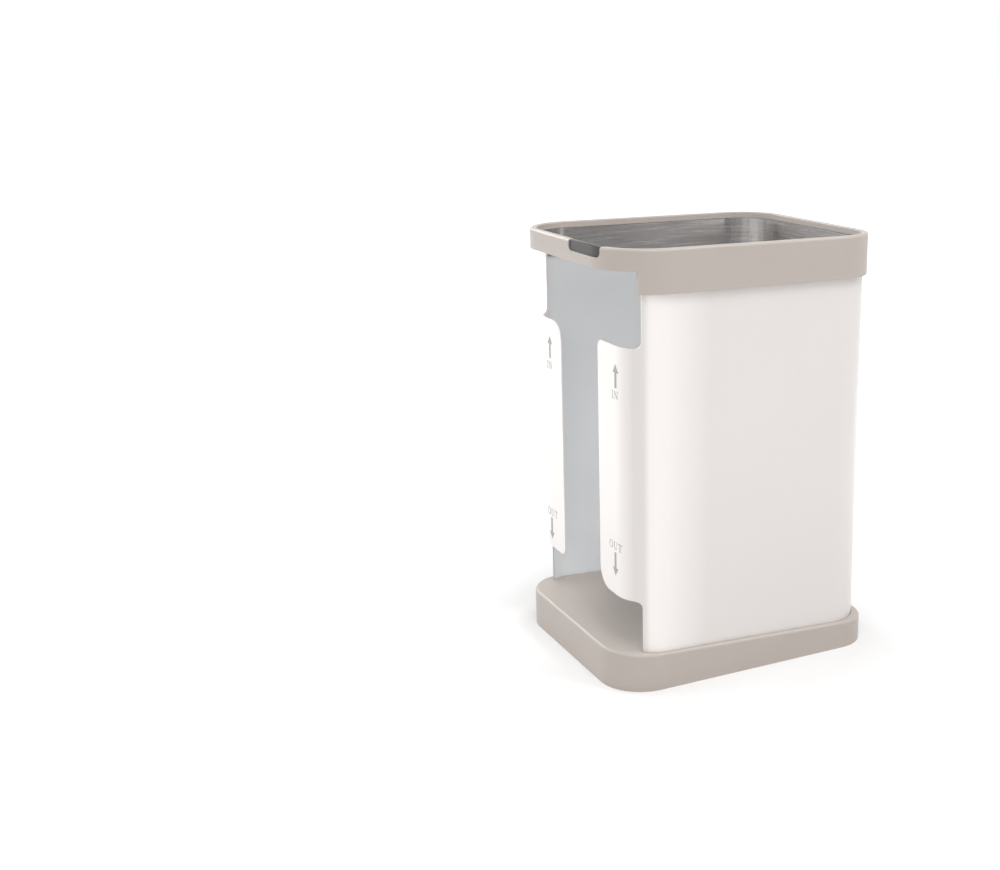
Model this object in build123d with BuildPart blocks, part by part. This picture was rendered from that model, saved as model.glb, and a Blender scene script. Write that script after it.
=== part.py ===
"""Freezer box that holds a flat stack of breast milk bags.

A moulded base tray and a moulded rim frame hold one bent plastic sheet between them.
The sheet wraps the left side, the back and the right side, and turns in at the front as two
flanges with a slot between them.  Bags go in through the mouth and come out under the flanges.
The front faces -Y, the box stands on z = 0, and the origin is under the middle of it.
"""
import os
from math import floor

from build123d import *

# ---------------------------------------------------------------- driving dimensions, mm
height = 240.0                  # floor to the top of the rim
depth = 165.0                   # rim and base, front to back

rim_width = 136.0
rim_front_radius = 31.5         # corners seen from above
rim_back_radius = 27.0
rim_band_height = 23.0          # skirt that covers the sheet at the sides and the back
rim_bar_height = 11.3           # shallow bar across the open front
rim_right_setback = 15.0        # from the front of the rim to the skirt's right end
rim_left_setback = 18.4         # and to its left end
rim_cover = 1.9                 # skirt wall outside the sheet
rim_bar_wall = 3.3              # wall of the front bar
rim_plate = 3.5                 # thickness of the flat top
rim_lip = 3.95                  # width of the flat top
rim_top_round = 1.5
rim_mouth_round = 0.7
rim_step_round = 1.2

notch_place = 28.0              # middle of the notch in the front bar, right of the middle
notch_width = 36.0
notch_depth = 5.7
notch_round = 2.8

sheet = 0.6                     # polypropylene sheet
flange_setback = 9.5            # front flanges, behind the front of the rim
sleeve_front_radius = 19.4      # bend between a side and its front flange
edge_setback = 7.65             # cut edge beside the windows, behind the flange face
slot_width = 49.3               # between the two flanges
flange_bottom = 50.0
flange_top = 188.3
slot_large_round = 11.5         # right flange's foot and left flange's head
slot_small_round = 4.2          # right flange's head and left flange's foot
window_round = 3.6              # where a flange's edge turns into the upright cut edge

film = 0.2                      # foil-faced film on the inside of the sheet
glue = 0.05
film_margin = 0.8               # film stops short of the sheet's cut edges

ring_steel = 0.4                # steel band inside the rim
ring_gap = 0.05                 # bond line behind the front bar
ring_drop = 15.5                # below the plate, at the sides and the back
ring_front_drop = 7.3           # below the plate, behind the front bar
ring_step_setback = 18.5        # from the front of the rim to the ring's step
ring_step_round = 2.0
hook_clearance = 0.5            # at both ends of the ring's hook in the notch
hook_setback = 0.7              # behind the face of the bar
hook_drop = 0.3                 # below the flat top

base_width = 137.0
base_front_radius = 25.0
base_back_radius = 21.0
base_front_height = 22.0        # the deck falls towards the back
base_back_height = 15.0
base_round = 1.5
base_wall = 2.4
base_deck = 2.2
groove_height = 5.0             # floor of the groove that holds the sheet
groove_bed = 2.0                # plastic under the groove
groove_wall = 1.8
rib = 1.4
rib_spacing = 19.0              # widest spacing of the ribs under the deck
rib_lift = 0.6                  # ribs stop above the surface the box stands on

fit = 0.3                       # side gap between the sheet and what it slides into
seat = 0.2                      # end gap above and below the sheet

# ---------------------------------------------------------------- places that follow
front = -depth / 2
back = depth / 2
plate_underside = height - rim_plate

sleeve_width = rim_width - 2 * (rim_cover + fit)
sleeve_front = front + flange_setback
sleeve_back = back - rim_cover - fit
sleeve_back_radius = rim_back_radius - rim_cover - fit
sleeve_bottom = groove_height + seat
sleeve_top = plate_underside - seat
cut_edge = sleeve_front + edge_setback
lining = glue + film
reach = 2 * depth               # longer than the box, for cuts that run right through

os.makedirs("parts", exist_ok=True)


def rounded(width, front_y, back_y, front_radius, back_radius):
    """Rectangle seen from above, with one radius at the front corners and one at the back."""
    with BuildSketch(mode=Mode.PRIVATE) as shape:
        with Locations((0, (front_y + back_y) / 2)):
            Rectangle(width, back_y - front_y)
        fillet(shape.vertices().group_by(Axis.Y)[0], front_radius)
        fillet(shape.vertices().group_by(Axis.Y)[-1], back_radius)
    return shape.sketch


def rim_outline(inset):
    """Outside of the rim, drawn in by inset."""
    return rounded(rim_width - 2 * inset, front + inset, back - inset,
                   rim_front_radius - inset, rim_back_radius - inset)


def base_outline(inset):
    """Outside of the base, drawn in by inset."""
    return rounded(base_width - 2 * inset, front + inset, back - inset,
                   base_front_radius - inset, base_back_radius - inset)


def sleeve_outline(inset):
    """Outer face of the sheet, closed across the front, drawn in by inset."""
    return rounded(sleeve_width - 2 * inset, sleeve_front + inset, sleeve_back - inset,
                   sleeve_front_radius - inset, sleeve_back_radius - inset)


def sleeve_strip(outer_inset, inner_inset, front_end):
    """U-shaped strip that follows the sheet and ends at front_end."""
    with BuildSketch(mode=Mode.PRIVATE) as strip:
        add(sleeve_outline(outer_inset))
        add(sleeve_outline(inner_inset), mode=Mode.SUBTRACT)
        with Locations((0, front_end)):
            Rectangle(reach, reach, align=(Align.CENTER, Align.MAX), mode=Mode.SUBTRACT)
    return strip.sketch


# ---------------------------------------------------------------- base tray
# Space above the sloping deck, used again lower down for the hollow under it.
with BuildPart() as above_deck:
    with BuildSketch(Plane.YZ):
        with BuildLine():
            Polyline(
                (front, base_front_height),
                (back, base_back_height),
                (back, height),
                (front, height),
                close=True,
            )
        make_face()
    extrude(amount=base_width, both=True)

# Hollow under the deck: the inside of the tray less the groove's walls and the ribs.
hollow_width = sleeve_width - 2 * (sheet + lining + fit + groove_wall)
ribs_lengthwise = floor(hollow_width / rib_spacing)
ribs_across = floor((depth - 2 * base_wall) / rib_spacing)
with BuildPart() as underside:
    with BuildSketch():
        add(base_outline(base_wall))
    extrude(amount=base_front_height)
    with Locations((0, 0, -base_deck)):
        add(above_deck.part, mode=Mode.SUBTRACT)
    with BuildSketch(Plane.XY.offset(groove_height - groove_bed)):
        add(sleeve_strip(-fit - groove_wall, sheet + lining + fit + groove_wall,
                         cut_edge - fit - groove_wall))
    extrude(amount=base_front_height, mode=Mode.SUBTRACT)
    with BuildSketch(Plane.XY.offset(rib_lift)):
        for number in range(1, ribs_lengthwise + 1):
            with Locations((hollow_width * (number / (ribs_lengthwise + 1) - 0.5), 0)):
                Rectangle(rib, depth)
        for number in range(1, ribs_across + 1):
            with Locations((0, (depth - 2 * base_wall) * (number / (ribs_across + 1) - 0.5))):
                Rectangle(base_width, rib)
    extrude(amount=base_front_height, mode=Mode.SUBTRACT)

with BuildPart() as base_tray:
    with BuildSketch():
        add(base_outline(0))
    extrude(amount=base_front_height)
    add(above_deck.part, mode=Mode.SUBTRACT)
    fillet(base_tray.faces().sort_by(Axis.Z)[-1].edges(), base_round)
    add(underside.part, mode=Mode.SUBTRACT)
    with BuildSketch(Plane.XY.offset(groove_height)):
        add(sleeve_strip(-fit, sheet + lining + fit, cut_edge - fit))
    extrude(amount=base_front_height, mode=Mode.SUBTRACT)
base_tray.part.label = "base_tray"
export_step(base_tray.part, "parts/base_tray.step")

# ---------------------------------------------------------------- sleeve
# One sheet, bent round five sides.  Its front is cut away above and below the flanges.
with BuildPart() as sleeve:
    with BuildSketch(Plane.XY.offset(sleeve_bottom)):
        add(sleeve_outline(0))
        add(sleeve_outline(sheet), mode=Mode.SUBTRACT)
    extrude(amount=sleeve_top - sleeve_bottom)

    # Slot and the two windows, cut from the front as far as the windows' rounded ends.
    with BuildSketch(Plane.XZ.offset(-cut_edge + window_round)) as window:
        Rectangle(slot_width, height, align=(Align.CENTER, Align.MIN))
        Rectangle(sleeve_width, flange_bottom, align=(Align.CENTER, Align.MIN))
        with Locations((0, flange_top)):
            Rectangle(sleeve_width, height - flange_top, align=(Align.CENTER, Align.MIN))
        for side, corner_height, radius in (
            (slot_width / 2, flange_bottom, slot_large_round),
            (slot_width / 2, flange_top, slot_small_round),
            (-slot_width / 2, flange_bottom, slot_small_round),
            (-slot_width / 2, flange_top, slot_large_round),
        ):
            fillet(window.vertices().sort_by_distance((side, corner_height))[0], radius)
    extrude(amount=flange_setback + edge_setback, mode=Mode.SUBTRACT)

    # Rounded ends of the windows, cut from the sides.
    with BuildSketch(Plane.YZ) as window_end:
        with Locations((cut_edge, flange_bottom)):
            Rectangle(reach, flange_bottom, align=(Align.MAX, Align.MAX))
        with Locations((cut_edge, flange_top)):
            Rectangle(reach, height, align=(Align.MAX, Align.MIN))
        inner_corners = window_end.vertices().group_by(Axis.X)[-1].sort_by(Axis.Y)
        fillet(inner_corners[1:3], window_round)
    extrude(amount=sleeve_width, both=True, mode=Mode.SUBTRACT)
sleeve.part.label = "sleeve"
export_step(sleeve.part, "parts/sleeve.step")

# ---------------------------------------------------------------- foil-faced film
with BuildPart() as liner:
    with BuildSketch(Plane.XY.offset(sleeve_bottom + film_margin)):
        add(sleeve_strip(sheet + glue, sheet + lining, cut_edge + film_margin))
    extrude(amount=sleeve_top - sleeve_bottom - 2 * film_margin)
liner.part.label = "liner"
export_step(liner.part, "parts/liner.step")

# ---------------------------------------------------------------- rim frame
with BuildPart() as rim_frame:
    with BuildSketch(Plane.XY.offset(height - rim_band_height)):
        add(rim_outline(0))
    extrude(amount=rim_band_height)
    fillet(rim_frame.faces().sort_by(Axis.Z)[-1].edges(), rim_top_round)

    # Room under the flat top for the sheet and the steel band.
    with BuildSketch(Plane.XY.offset(height - rim_band_height)):
        add(sleeve_outline(-fit))
        add(rim_outline(rim_bar_wall))
    extrude(amount=rim_band_height - rim_plate, mode=Mode.SUBTRACT)

    # Mouth that the bags go in through.
    with BuildSketch(Plane.XY.offset(plate_underside)):
        add(rim_outline(rim_lip))
    extrude(amount=rim_plate, mode=Mode.SUBTRACT)
    fillet(rim_frame.faces().sort_by(Axis.Z)[-1].inner_wires().edges(), rim_mouth_round)

    # Steps from the deep skirt to the shallow front bar, on the right and on the left.
    for step_end, step_reach in (
        (front + rim_right_setback, rim_width),
        (front + rim_left_setback, -rim_width),
    ):
        with BuildSketch(Plane.YZ) as step:
            with Locations((step_end, height - rim_bar_height)):
                Rectangle(reach, rim_band_height, align=(Align.MAX, Align.MAX))
            with Locations((0, height - rim_band_height)):
                Rectangle(reach, rim_band_height, align=(Align.CENTER, Align.MAX))
            fillet(step.vertices().sort_by_distance((step_end, height - rim_band_height))[0],
                   rim_step_round)
        extrude(amount=step_reach, mode=Mode.SUBTRACT)

    # Notch in the front bar.
    with BuildSketch(Plane.XZ.offset(-front - rim_lip - rim_bar_wall)) as notch:
        with Locations((notch_place, height)):
            Rectangle(notch_width, 2 * notch_depth)
        fillet(notch.vertices().group_by(Axis.Y)[0], notch_round)
    extrude(amount=2 * (rim_lip + rim_bar_wall), mode=Mode.SUBTRACT)
rim_frame.part.label = "rim_frame"
export_step(rim_frame.part, "parts/rim_frame.step")

# ---------------------------------------------------------------- clamp ring
# Steel band that backs the sheet inside the rim.  A hook folded from it hangs in the notch:
# it rises from the band, turns forward over the bar and down to the notch's floor.
ring_outer = rim_bar_wall + ring_gap
ring_step = front + ring_step_setback
hook_foot = height - notch_depth + seat
hook_rise = notch_depth - seat - hook_drop
with BuildPart() as hook:
    with BuildSketch(Plane.XY.offset(hook_foot)):
        add(rim_outline(hook_setback))
        add(rim_outline(ring_outer + ring_steel), mode=Mode.SUBTRACT)
        with Locations((notch_place, front)):
            Rectangle(notch_width - 2 * hook_clearance, 2 * ring_step_setback, mode=Mode.INTERSECT)
    extrude(amount=hook_rise)
    with BuildSketch(Plane.XY.offset(hook_foot)):
        add(rim_outline(hook_setback + ring_steel))
        add(rim_outline(ring_outer), mode=Mode.SUBTRACT)
    extrude(amount=hook_rise - ring_steel, mode=Mode.SUBTRACT)

with BuildPart() as clamp_ring:
    with BuildSketch(Plane.XY.offset(plate_underside - ring_drop)):
        add(rim_outline(ring_outer))
        add(rim_outline(ring_outer + ring_steel), mode=Mode.SUBTRACT)
    extrude(amount=ring_drop - seat)

    # Its front is shallow, so that it stays hidden behind the front bar.
    with BuildSketch(Plane.YZ) as ring_front:
        with Locations((ring_step, plate_underside - ring_front_drop)):
            Rectangle(reach, ring_drop, align=(Align.MAX, Align.MAX))
        fillet(ring_front.vertices().sort_by_distance((ring_step, plate_underside - ring_front_drop))[0],
               ring_step_round)
    extrude(amount=rim_width, both=True, mode=Mode.SUBTRACT)
    add(hook.part)
clamp_ring.part.label = "clamp_ring"
export_step(clamp_ring.part, "parts/clamp_ring.step")
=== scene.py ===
"""Looks of a freezer box for milk bags: a bent sheet between a moulded base and a moulded rim."""

import math

import bmesh
import bpy
from mathutils import Matrix, Vector


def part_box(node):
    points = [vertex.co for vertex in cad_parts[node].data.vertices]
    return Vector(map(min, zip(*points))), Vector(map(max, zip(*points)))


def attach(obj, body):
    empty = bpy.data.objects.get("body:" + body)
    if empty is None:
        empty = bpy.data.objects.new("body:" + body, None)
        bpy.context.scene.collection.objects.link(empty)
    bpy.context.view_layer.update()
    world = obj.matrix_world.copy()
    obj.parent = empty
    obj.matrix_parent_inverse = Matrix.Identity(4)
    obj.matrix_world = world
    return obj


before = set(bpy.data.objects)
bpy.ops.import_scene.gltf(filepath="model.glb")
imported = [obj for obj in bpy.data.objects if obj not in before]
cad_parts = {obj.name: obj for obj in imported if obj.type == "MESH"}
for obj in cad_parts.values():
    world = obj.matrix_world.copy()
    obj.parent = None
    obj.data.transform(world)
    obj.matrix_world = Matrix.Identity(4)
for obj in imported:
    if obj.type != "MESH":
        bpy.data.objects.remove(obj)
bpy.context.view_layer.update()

# ---------------------------------------------------------------- camera
# A long lens a little above the rim, turned round to the right of the open front.  The box
# stands right of the middle of the picture, so the lens is shifted by as much.
azimuth = math.radians(61.10)
elevation = math.radians(15.29)
roll = math.radians(0.26)
distance = 0.8123
aim = Vector((0, 0, 0.120))

lens = bpy.data.cameras.new("camera")
lens.sensor_width = 36.0
lens.lens = 50.15
lens.shift_x = -0.1949
lens.clip_start = 0.01
camera = bpy.data.objects.new("camera", lens)
bpy.context.scene.collection.objects.link(camera)
away = Vector((math.sin(azimuth) * math.cos(elevation),
               -math.cos(azimuth) * math.cos(elevation),
               math.sin(elevation)))
turn = (Matrix.Rotation(azimuth, 4, "Z")
        @ Matrix.Rotation(math.pi / 2 - elevation, 4, "X")
        @ Matrix.Rotation(roll, 4, "Z"))
camera.matrix_world = Matrix.Translation(aim + away * distance) @ turn
bpy.context.scene.camera = camera

# ---------------------------------------------------------------- light, floor and backdrop
# Plain soft studio light: a white room, two lamps on the left of the front, a weaker fill on
# its right, one high on the right that reaches into the mouth, one behind that draws the
# light edges, a narrow strip that streaks the brushed band, and a white floor that keeps a
# faint shadow.
bpy.context.scene.view_settings.view_transform = "Standard"


def srgb(code):
    """Hex colour such as "BFB7B0" as linear red, green, blue and alpha."""
    parts = [int(code[i:i + 2], 16) / 255 for i in (0, 2, 4)]
    return [c / 12.92 if c <= 0.04045 else ((c + 0.055) / 1.055) ** 2.4 for c in parts] + [1.0]


def add_node(tree, kind, inputs=(), **settings):
    """Adds one node with its settings; an input is a value or another node's output."""
    made = tree.nodes.new(kind)
    for name, value in settings.items():
        setattr(made, name, value)
    for socket, value in dict(inputs).items():
        if isinstance(value, bpy.types.NodeSocket):
            tree.links.new(value, made.inputs[socket])
        else:
            made.inputs[socket].default_value = value
    return made


def seen_directly(tree):
    """1 for what the camera, a mirror or a clear piece shows, 0 for light on a surface."""
    path = add_node(tree, "ShaderNodeLightPath")
    either = add_node(tree, "ShaderNodeMath", operation="MAXIMUM", inputs={
        0: path.outputs["Is Camera Ray"], 1: path.outputs["Is Glossy Ray"]})
    return add_node(tree, "ShaderNodeMath", operation="MAXIMUM", inputs={
        0: either.outputs[0], 1: path.outputs["Is Transmission Ray"]}).outputs[0]


def empty_tree(owner):
    """Node tree of a new world or material, with nothing in it yet."""
    owner.use_nodes = True
    owner.node_tree.nodes.clear()
    return owner.node_tree


room = bpy.data.worlds.new("white_room")
tree = empty_tree(room)
strength = add_node(tree, "ShaderNodeMapRange", {
    "Value": seen_directly(tree), "To Min": 0.33, "To Max": 1.0})
glow = add_node(tree, "ShaderNodeBackground", {
    "Color": (1, 1, 1, 1), "Strength": strength.outputs[0]})
add_node(tree, "ShaderNodeOutputWorld", {"Surface": glow.outputs[0]})
bpy.context.scene.world = room
lamp_distance = 1.5


def soft_lamp(name, turned, raised, width, tall, power):
    """Lamp that faces the middle of the box, turned and raised in degrees, power in watts."""
    light = bpy.data.lights.new(name, "AREA")
    light.shape = "RECTANGLE"
    light.size = width
    light.size_y = tall
    light.energy = power
    lamp = bpy.data.objects.new(name, light)
    bpy.context.scene.collection.objects.link(lamp)
    turned = math.radians(turned)
    raised = math.radians(raised)
    lamp.location = aim + lamp_distance * Vector((math.sin(turned) * math.cos(raised),
                                                  -math.cos(turned) * math.cos(raised),
                                                  math.sin(raised)))
    lamp.rotation_euler = (aim - lamp.location).to_track_quat("-Z", "Y").to_euler()


soft_lamp("front_lamp", -42, 26, 1.2, 0.9, 7.5)
soft_lamp("left_lamp", -75, 30, 0.7, 0.7, 8.7)
soft_lamp("fill_lamp", 47, 26, 0.9, 0.9, 4.2)
soft_lamp("high_lamp", 78, 62, 0.6, 0.6, 8.0)
soft_lamp("rear_lamp", 150, 57, 0.7, 0.7, 9.0)
soft_lamp("strip_lamp", 126, 20, 0.05, 0.5, 1.5)

floor_mesh = bpy.data.meshes.new("floor")
half_floor = 6.0
floor_mesh.from_pydata([(-half_floor, -half_floor, 0), (half_floor, -half_floor, 0),
                        (half_floor, half_floor, 0), (-half_floor, half_floor, 0)],
                       [], [(0, 1, 2, 3)])
floor = bpy.data.objects.new("floor", floor_mesh)
bpy.context.scene.collection.objects.link(floor)
paper = bpy.data.materials.new("white_paper_floor")
tree = empty_tree(paper)
matt = add_node(tree, "ShaderNodeBsdfDiffuse", {"Color": srgb("EDEDED")})
reach = add_node(tree, "ShaderNodeVectorMath", operation="LENGTH", inputs={
    0: add_node(tree, "ShaderNodeTexCoord").outputs["Object"]})
fade = add_node(tree, "ShaderNodeMapRange", {          # no lift close by, where the shadow falls
    "Value": reach.outputs["Value"], "From Min": 0.10, "From Max": 0.40,
    "To Min": 0.0, "To Max": 0.80})
lift = add_node(tree, "ShaderNodeEmission", {
    "Color": (1, 1, 1, 1), "Strength": fade.outputs[0]})
lifted = add_node(tree, "ShaderNodeAddShader", {0: matt.outputs[0], 1: lift.outputs[0]})
shown = add_node(tree, "ShaderNodeMixShader", {
    "Fac": seen_directly(tree), 1: matt.outputs[0], 2: lifted.outputs[0]})
add_node(tree, "ShaderNodeOutputMaterial", {"Surface": shown.outputs[0]})
floor_mesh.materials.append(paper)


def dress(node_name, material):
    """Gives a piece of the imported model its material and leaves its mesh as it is."""
    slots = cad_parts[node_name].material_slots
    for slot in slots:
        slot.material = material
    if not slots:
        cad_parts[node_name].data.materials.append(material)


# ---------------------------------------------------------------- base tray and rim frame
# The two mouldings are one colour of injection-moulded polypropylene.  The mould's faces are
# lightly spark-eroded, so the taupe has a fine satin grain and soft, wide highlights.
taupe = bpy.data.materials.new("taupe_polypropylene")
tree = empty_tree(taupe)
place = add_node(tree, "ShaderNodeTexCoord").outputs["Object"]
flow = add_node(tree, "ShaderNodeTexNoise", {      # cloudy pigment, 30 mm across
    "Vector": place, "Scale": 1 / 0.030, "Detail": 3.0})
colour = add_node(tree, "ShaderNodeMix", data_type="RGBA", inputs={
    "Factor": flow.outputs["Fac"], 6: srgb("B0A7A0"), 7: srgb("B6ADA6")})
grain = add_node(tree, "ShaderNodeTexNoise", {     # eroded grain, 0.5 mm, drawn 0.8 mm to show
    "Vector": place, "Scale": 1 / 0.0008, "Detail": 2.0})
sheen = add_node(tree, "ShaderNodeMapRange", {
    "Value": grain.outputs["Fac"], "To Min": 0.36, "To Max": 0.50})
relief = add_node(tree, "ShaderNodeBump", {
    "Height": grain.outputs["Fac"], "Strength": 0.10, "Distance": 0.0001})
surface = add_node(tree, "ShaderNodeBsdfPrincipled", {
    "Base Color": colour.outputs[2], "Roughness": sheen.outputs[0],
    "IOR": 1.49, "Normal": relief.outputs[0]})
add_node(tree, "ShaderNodeOutputMaterial", {"Surface": surface.outputs[0]})
dress("base_tray", taupe)
dress("rim_frame", taupe)

# ---------------------------------------------------------------- sleeve
# One sheet of extruded white polypropylene, die-cut flat and bent round the box.  Rolling
# leaves it satin, with very faint upright lines.  Its colour is painted paler on the flanges,
# as painted light, and just behind the front bends, as a painted highlight and sheen.
highlight_start, highlight_full = -0.0655, -0.0615        # painted highlight at the front bends, measured along Y
sheen_fade, sheen_gone = -0.0590, -0.0270         # behind them the painted sheen dies away
flange_light_fade, flange_light_gone = -0.0728, -0.0690     # and so does the painted light of the flanges
sheet_white = bpy.data.materials.new("extruded_white_polypropylene")
tree = empty_tree(sheet_white)
place = add_node(tree, "ShaderNodeTexCoord").outputs["Object"]
cloud = add_node(tree, "ShaderNodeTexNoise", {
    "Vector": place, "Scale": 1 / 0.060, "Detail": 2.0})
tint = add_node(tree, "ShaderNodeMix", data_type="RGBA", inputs={
    "Factor": cloud.outputs["Fac"], 6: srgb("DBD6D3"), 7: srgb("DED9D6")})
spot = add_node(tree, "ShaderNodeSeparateXYZ", {"Vector": place})
highlight_rise = add_node(tree, "ShaderNodeMapRange", interpolation_type="SMOOTHSTEP", inputs={
    "Value": spot.outputs["Y"], "From Min": highlight_start, "From Max": highlight_full})
sheen_fading = add_node(tree, "ShaderNodeMapRange", {
    "Value": spot.outputs["Y"], "From Min": sheen_fade, "From Max": sheen_gone,
    "To Min": 1.0, "To Max": 0.0})
bend_sheen = add_node(tree, "ShaderNodeMath", operation="MULTIPLY", inputs={
    0: highlight_rise.outputs[0], 1: sheen_fading.outputs[0]})
painted_flange_light = add_node(tree, "ShaderNodeMapRange", {
    "Value": spot.outputs["Y"], "From Min": flange_light_fade, "From Max": flange_light_gone,
    "To Min": 0.76, "To Max": 0.0})
painted_light_share = add_node(tree, "ShaderNodeMath", operation="MAXIMUM", inputs={
    0: bend_sheen.outputs[0], 1: painted_flange_light.outputs[0]})
# Painted light and highlight: the colour is mixed towards pale F3EEEB on the flanges and just
# behind the front bends.
painted_light_colour = add_node(tree, "ShaderNodeMix", data_type="RGBA", inputs={
    "Factor": painted_light_share.outputs[0], 6: tint.outputs[2], 7: srgb("F3EEEB")})
along = add_node(tree, "ShaderNodeMapping", {"Vector": place, "Scale": (1, 1, 0.02)})
lines = add_node(tree, "ShaderNodeTexNoise", {         # rolling lines, about 1.2 mm apart
    "Vector": along.outputs[0], "Scale": 1 / 0.0012, "Detail": 1.0})
gloss = add_node(tree, "ShaderNodeMapRange", {
    "Value": lines.outputs["Fac"], "To Min": 0.27, "To Max": 0.30})
ripple = add_node(tree, "ShaderNodeBump", {
    "Height": lines.outputs["Fac"], "Strength": 0.01, "Distance": 0.0001})
surface = add_node(tree, "ShaderNodeBsdfPrincipled", {
    "Base Color": painted_light_colour.outputs[2], "Roughness": gloss.outputs[0],
    "IOR": 1.49, "Normal": ripple.outputs[0]})
add_node(tree, "ShaderNodeOutputMaterial", {"Surface": surface.outputs[0]})
dress("sleeve", sheet_white)

# ---------------------------------------------------------------- foil-faced film
# Aluminium-faced film laminated to the inside of the sheet.  It is dull silver, with the
# slight waves that a thin film takes from its glue.
film_silver = bpy.data.materials.new("aluminium_faced_film")
tree = empty_tree(film_silver)
place = add_node(tree, "ShaderNodeTexCoord").outputs["Object"]
waves = add_node(tree, "ShaderNodeTexNoise", {
    "Vector": place, "Scale": 1 / 0.018, "Detail": 2.0})
dulling = add_node(tree, "ShaderNodeMapRange", {
    "Value": waves.outputs["Fac"], "To Min": 0.42, "To Max": 0.54})
swell = add_node(tree, "ShaderNodeBump", {
    "Height": waves.outputs["Fac"], "Strength": 0.15, "Distance": 0.0004})
spot = add_node(tree, "ShaderNodeSeparateXYZ", {"Vector": place})
painted_light_by_height = add_node(tree, "ShaderNodeMapRange", {          # painted light: the film is coloured cooler and paler low down
    "Value": spot.outputs["Z"], "From Min": 0.03, "From Max": 0.20})
painted_light_tone = add_node(tree, "ShaderNodeMix", data_type="RGBA", inputs={
    "Factor": painted_light_by_height.outputs[0], 6: srgb("F8FCFF"), 7: srgb("CDCECF")})
surface = add_node(tree, "ShaderNodeBsdfPrincipled", {
    "Base Color": painted_light_tone.outputs[2], "Metallic": 0.10, "Roughness": dulling.outputs[0],
    "Normal": swell.outputs[0]})
add_node(tree, "ShaderNodeOutputMaterial", {"Surface": surface.outputs[0]})
dress("liner", film_silver)

# ---------------------------------------------------------------- clamp ring
# Thin stainless steel band, brushed along its length before it is bent to the shape of the
# rim.  It backs the sheet, and a hook folded from it hangs in the notch in the front bar,
# where its face has a charcoal coating.
hook_face = -0.0793             # the hook, which is coated, lies in front of this
band_steel = bpy.data.materials.new("brushed_stainless_steel")
tree = empty_tree(band_steel)
place = add_node(tree, "ShaderNodeTexCoord").outputs["Object"]
along = add_node(tree, "ShaderNodeMapping", {"Vector": place, "Scale": (0.03, 0.03, 1)})
brushing = add_node(tree, "ShaderNodeTexNoise", {      # 240 grit strokes, drawn 0.8 mm apart
    "Vector": along.outputs[0], "Scale": 1 / 0.0008, "Detail": 3.0})
stroke = add_node(tree, "ShaderNodeMapRange", {
    "Value": brushing.outputs["Fac"], "To Min": 0.20, "To Max": 0.32})
shade = add_node(tree, "ShaderNodeMix", data_type="RGBA", inputs={
    "Factor": brushing.outputs["Fac"], 6: srgb("858280"), 7: srgb("B3B0AE")})
scratches = add_node(tree, "ShaderNodeBump", {
    "Height": brushing.outputs["Fac"], "Strength": 0.06, "Distance": 0.00005})
spot = add_node(tree, "ShaderNodeSeparateXYZ", {"Vector": place})
coated = add_node(tree, "ShaderNodeMath", operation="LESS_THAN", inputs={
    0: spot.outputs["Y"], 1: hook_face})
coating = add_node(tree, "ShaderNodeMix", data_type="RGBA", inputs={
    "Factor": coated.outputs[0], 6: shade.outputs[2], 7: srgb("302D2D")})
bare_metal = add_node(tree, "ShaderNodeMath", operation="SUBTRACT", inputs={
    0: 1.0, 1: coated.outputs[0]})
dulled = add_node(tree, "ShaderNodeMix", data_type="FLOAT", inputs={
    0: coated.outputs[0], 2: stroke.outputs[0], 3: 0.72})
round_the_band = add_node(tree, "ShaderNodeTangent", direction_type="RADIAL", axis="Z")
surface = add_node(tree, "ShaderNodeBsdfPrincipled", {
    "Base Color": coating.outputs[2], "Metallic": bare_metal.outputs[0],
    "Roughness": dulled.outputs[0], "Anisotropic": 0.92, "Anisotropic Rotation": 0.25,
    "Tangent": round_the_band.outputs[0], "Normal": scratches.outputs[0]})
add_node(tree, "ShaderNodeOutputMaterial", {"Surface": surface.outputs[0]})
dress("clamp_ring", band_steel)

# ---------------------------------------------------------------- direction prints
# Grey ink, pad-printed on both flanges once the sheet is bent: an arrow up over IN where the
# bags go in, and OUT over an arrow down where they come out.  It lies 0.03 mm proud.
sheet_low, sheet_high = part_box("sleeve")
flange_face = sheet_low[1]
bend_radius = 0.0194
bend_start = sheet_high[0] - bend_radius
ink_height = 0.00003
strip_width = 0.0005            # each print is cut this narrow, so that it follows the bend
weld = 0.000002
shaft = 0.0012                  # half widths of an arrow's shaft and head
head = 0.0033
head_length = 0.0046
cap = 0.0044                    # height of the capitals
stem = 0.16                     # letter parts, as shares of the capitals' height
hairline = 0.08
serif = 0.07
left_stem = 0.14                # left side of the stem of N and U
letter_gap = 0.16


def arc_points(centre, half_width, half_height, start, end, count=16):
    """Points along part of an ellipse, for the round letters."""
    return [(centre[0] + half_width * math.cos(math.radians(start + (end - start) * i / count)),
             centre[1] + half_height * math.sin(math.radians(start + (end - start) * i / count)))
            for i in range(count + 1)]


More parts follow.
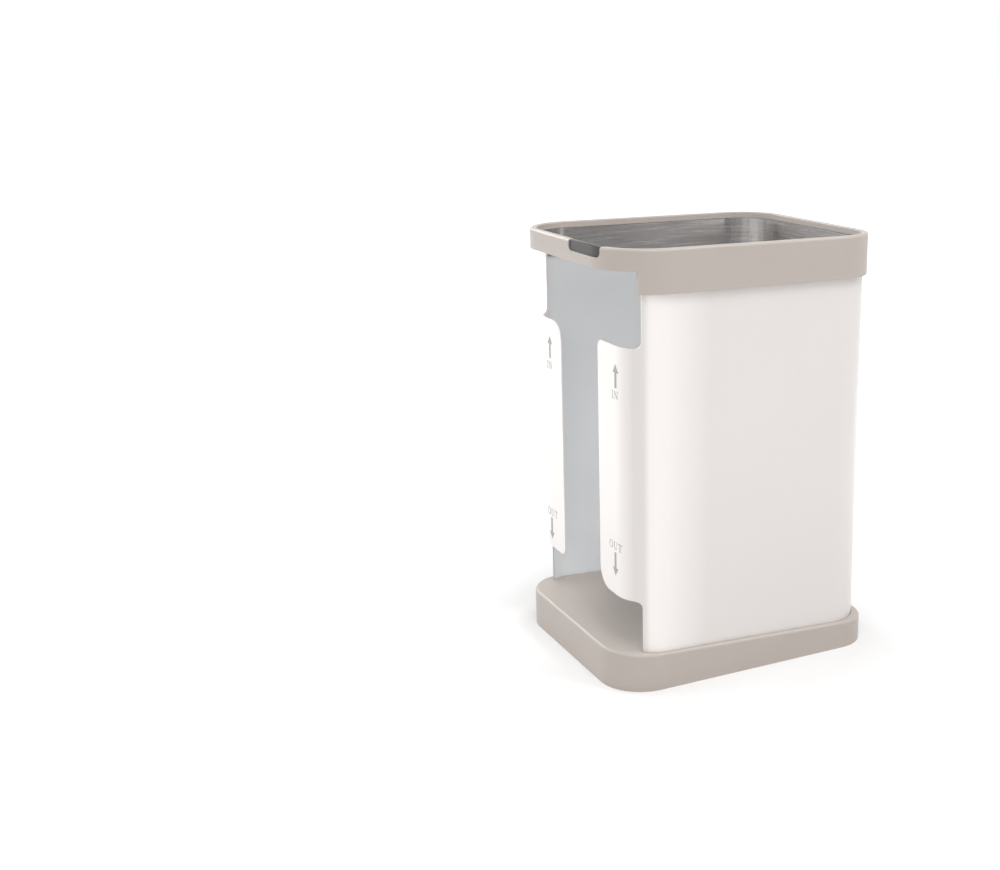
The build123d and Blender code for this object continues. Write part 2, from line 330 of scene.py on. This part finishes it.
# Each letter is its width and its outlines, drawn to a capital's height of 1.
letters = {
    "I": (0.44, [[(0.02, 0), (0.42, 0), (0.42, serif), (0.22 + stem / 2, serif),
                  (0.22 + stem / 2, 1 - serif), (0.42, 1 - serif), (0.42, 1), (0.02, 1),
                  (0.02, 1 - serif), (0.22 - stem / 2, 1 - serif), (0.22 - stem / 2, serif),
                  (0.02, serif)]]),
    "N": (1.04, [[(0.02, 0), (0.34, 0), (0.34, serif), (left_stem + hairline, serif),
                  (left_stem + hairline, 0.80), (0.82, 0), (0.90, 0), (0.90, 1 - serif),
                  (1.02, 1 - serif), (1.02, 1), (0.70, 1), (0.70, 1 - serif),
                  (0.90 - hairline, 1 - serif), (0.90 - hairline, 0.24), (0.28, 1), (0.02, 1),
                  (0.02, 1 - serif), (left_stem, 1 - serif), (left_stem, serif), (0.02, serif)]]),
    "O": (1.04, [arc_points((0.52, 0.5), 0.50, 0.52, 0, 360, 40)[:-1],
                 arc_points((0.52, 0.5), 0.50 - stem, 0.52 - hairline, 0, 360, 40)[:-1]]),
    "U": (1.02, [[(0.02, 1), (0.02, 1 - serif), (left_stem, 1 - serif)]
                 + arc_points((0.51, 0.36), 0.37, 0.38, 180, 360)
                 + [(0.88, 1 - serif), (1.00, 1 - serif), (1.00, 1), (0.68, 1), (0.68, 1 - serif),
                    (0.88 - hairline, 1 - serif)]
                 + arc_points(((0.88 - hairline + left_stem + stem) / 2, 0.36),
                              (0.88 - hairline - left_stem - stem) / 2, 0.38 - hairline, 0, -180)
                 + [(left_stem + stem, 1 - serif), (0.42, 1 - serif), (0.42, 1)]]),
    "T": (0.94, [[(0.30, 0), (0.64, 0), (0.64, serif), (0.47 + stem / 2, serif),
                  (0.47 + stem / 2, 1 - hairline), (0.82, 1 - hairline), (0.86, 0.74),
                  (0.92, 0.74), (0.91, 1), (0.03, 1), (0.02, 0.74), (0.08, 0.74),
                  (0.12, 1 - hairline), (0.47 - stem / 2, 1 - hairline), (0.47 - stem / 2, serif),
                  (0.30, serif)]]),
}


def word(text, middle, foot):
    """Outlines of a word on the flange, centred on middle with its foot at a height."""
    widths = [letters[letter][0] for letter in text]
    pen = middle - cap * (sum(widths) + letter_gap * (len(text) - 1)) / 2
    outlines = []
    for letter, width in zip(text, widths):
        outlines += [[(pen + cap * u, foot + cap * z) for u, z in loop]
                     for loop in letters[letter][1]]
        pen += cap * (width + letter_gap)
    return outlines


def arrow(middle, tail, tip):
    """Outline of an arrow that runs from the height of its tail to that of its tip."""
    up = 1 if tip > tail else -1
    shoulder = tip - up * head_length
    return [[(middle - shaft, tail), (middle + shaft, tail), (middle + shaft, shoulder),
             (middle + head, shoulder), (middle, tip), (middle - head, shoulder),
             (middle - shaft, shoulder)]]


def print_on_sheet(name, outlines, ink):
    """Fills the outlines flat, cuts them into narrow strips and lays them on the bent sheet."""
    flat = bpy.data.curves.new(name, "CURVE")
    flat.dimensions = "2D"
    flat.fill_mode = "BOTH"
    for loop in outlines:
        spline = flat.splines.new("POLY")
        spline.points.add(len(loop) - 1)
        for point, (u, z) in zip(spline.points, loop):
            point.co = (u, z, 0, 1)
        spline.use_cyclic_u = True
    holder = bpy.data.objects.new(name, flat)
    patch = bpy.data.meshes.new_from_object(holder)
    bpy.data.objects.remove(holder)

    cut = bmesh.new()
    cut.from_mesh(patch)
    low = min(vertex.co.x for vertex in cut.verts)
    high = max(vertex.co.x for vertex in cut.verts)
    for number in range(1, int((high - low) / strip_width)):
        everything = cut.verts[:] + cut.edges[:] + cut.faces[:]
        bmesh.ops.bisect_plane(cut, geom=everything, plane_no=(1, 0, 0),
                               plane_co=(low + number * strip_width, 0, 0))
    for vertex in cut.verts:
        u, z = vertex.co.x, vertex.co.y
        side = math.copysign(1, u)
        turned = max(0.0, abs(u) - bend_start) / bend_radius
        out = bend_radius + ink_height
        vertex.co = (side * (min(abs(u), bend_start) + out * math.sin(turned)),
                     flange_face + bend_radius - out * math.cos(turned), z)
    bmesh.ops.remove_doubles(cut, verts=cut.verts[:], dist=weld)
    for face in cut.faces:
        face.normal_update()
        if face.normal.y > 0:
            face.normal_flip()
    cut.to_mesh(patch)
    cut.free()
    piece = bpy.data.objects.new(name, patch)
    bpy.context.scene.collection.objects.link(piece)
    patch.materials.append(ink)
    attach(piece, "wrap")


ink = bpy.data.materials.new("grey_pad_printing_ink")
tree = empty_tree(ink)
place = add_node(tree, "ShaderNodeTexCoord").outputs["Object"]
mottle = add_node(tree, "ShaderNodeTexNoise", {        # thin and thick spots of ink, 0.6 mm
    "Vector": place, "Scale": 1 / 0.0006, "Detail": 2.0})
tint = add_node(tree, "ShaderNodeMix", data_type="RGBA", inputs={
    "Factor": mottle.outputs["Fac"], 6: srgb("9C9C99"), 7: srgb("A6A6A3")})
surface = add_node(tree, "ShaderNodeBsdfPrincipled", {
    "Base Color": tint.outputs[2], "Roughness": 0.55, "IOR": 1.5})
add_node(tree, "ShaderNodeOutputMaterial", {"Surface": surface.outputs[0]})

print_on_sheet("in_print_right", arrow(0.0462, 0.1658, 0.1787) + word("IN", 0.0452, 0.1598), ink)
print_on_sheet("in_print_left", arrow(-0.0402, 0.1655, 0.1785) + word("IN", -0.0412, 0.1592), ink)
print_on_sheet("out_print_right", word("OUT", 0.0440, 0.0758) + arrow(0.0440, 0.0742, 0.0608), ink)
print_on_sheet("out_print_left", word("OUT", -0.0418, 0.0694) + arrow(-0.0432, 0.0680, 0.0546), ink)
